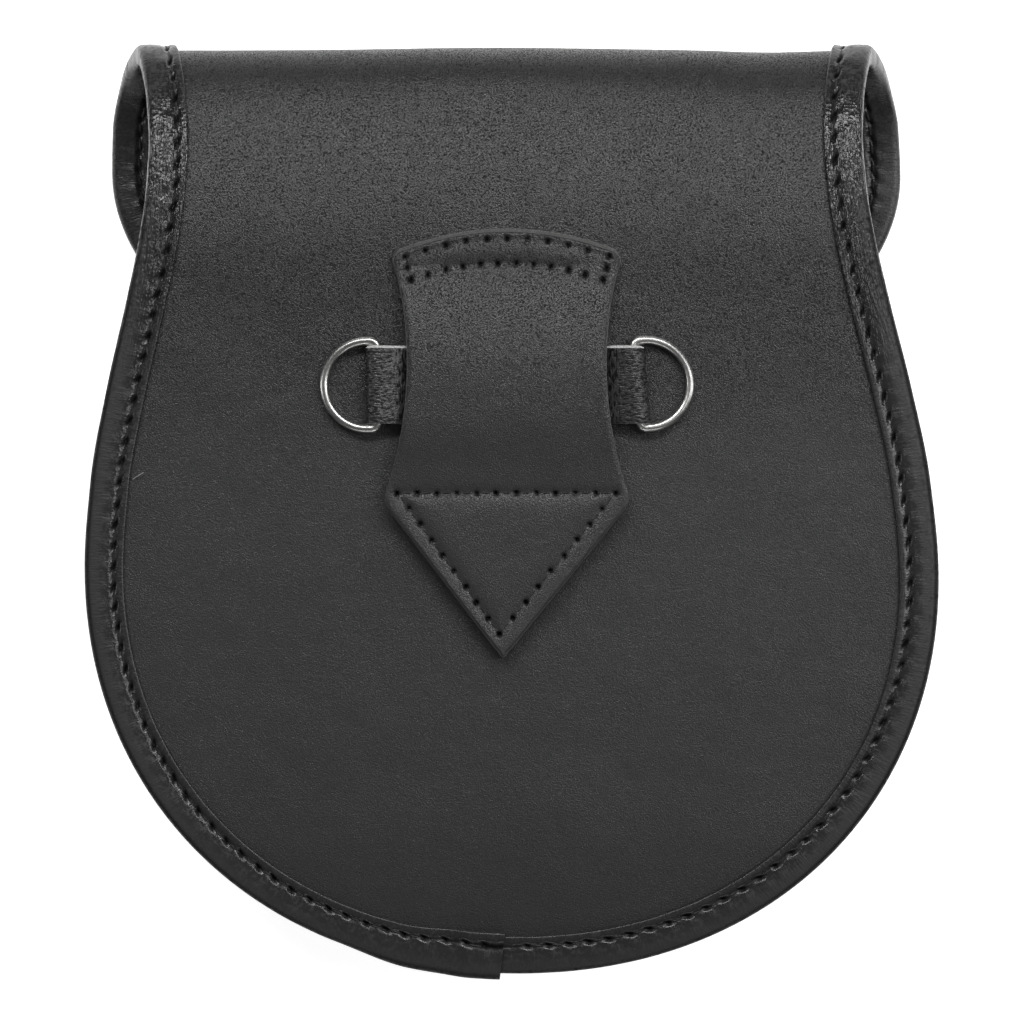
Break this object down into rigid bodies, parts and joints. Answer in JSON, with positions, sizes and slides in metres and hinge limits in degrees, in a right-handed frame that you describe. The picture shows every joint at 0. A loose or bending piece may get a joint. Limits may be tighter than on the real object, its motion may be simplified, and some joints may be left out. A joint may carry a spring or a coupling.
{
  "type": "sporran pouch",
  "caption": "Round-bottomed leather belt pouch with a fold-over flap, bound edges, a belt loop on its back and wire rings on a short strap.",
  "frame": {"origin": "under the middle of the pouch, on the surface it lies on with its back panel up", "axes": "+X across the pouch, +Y from the round bottom to the folded top, +Z out of the back panel"},
  "size_m": [0.1796, 0.1985, 0.0457],
  "materials": {
    "panel_leather": "satin black, finely grained",
    "binding_leather": "semi-gloss black, pebbled",
    "nickel": "polished plating"
  },
  "bodies": {
    "pouch": {"back_and_flap": "panel_leather", "edge_binding": "binding_leather", "gusset": "binding_leather", "front_panel": "panel_leather", "belt_loop": "panel_leather", "ring_strap": "binding_leather", "snap_fastener": "nickel"},
    "ring_left": {"d_ring_left": "nickel"},
    "ring_right": {"d_ring_right": "nickel"}
  },
  "joints": [
    {"name": "ring_left_swing", "type": "hinge", "parent": "pouch", "child": "ring_left", "pos_m": [-0.0281, 0.026, 0.03975], "axis": [-0.0175, 0.9998, 0], "range_deg": [0, 120]},
    {"name": "ring_right_swing", "type": "hinge", "parent": "pouch", "child": "ring_right", "pos_m": [0.026, 0.026, 0.03975], "axis": [0.0872, -0.9962, 0], "range_deg": [0, 120]}
  ]
}
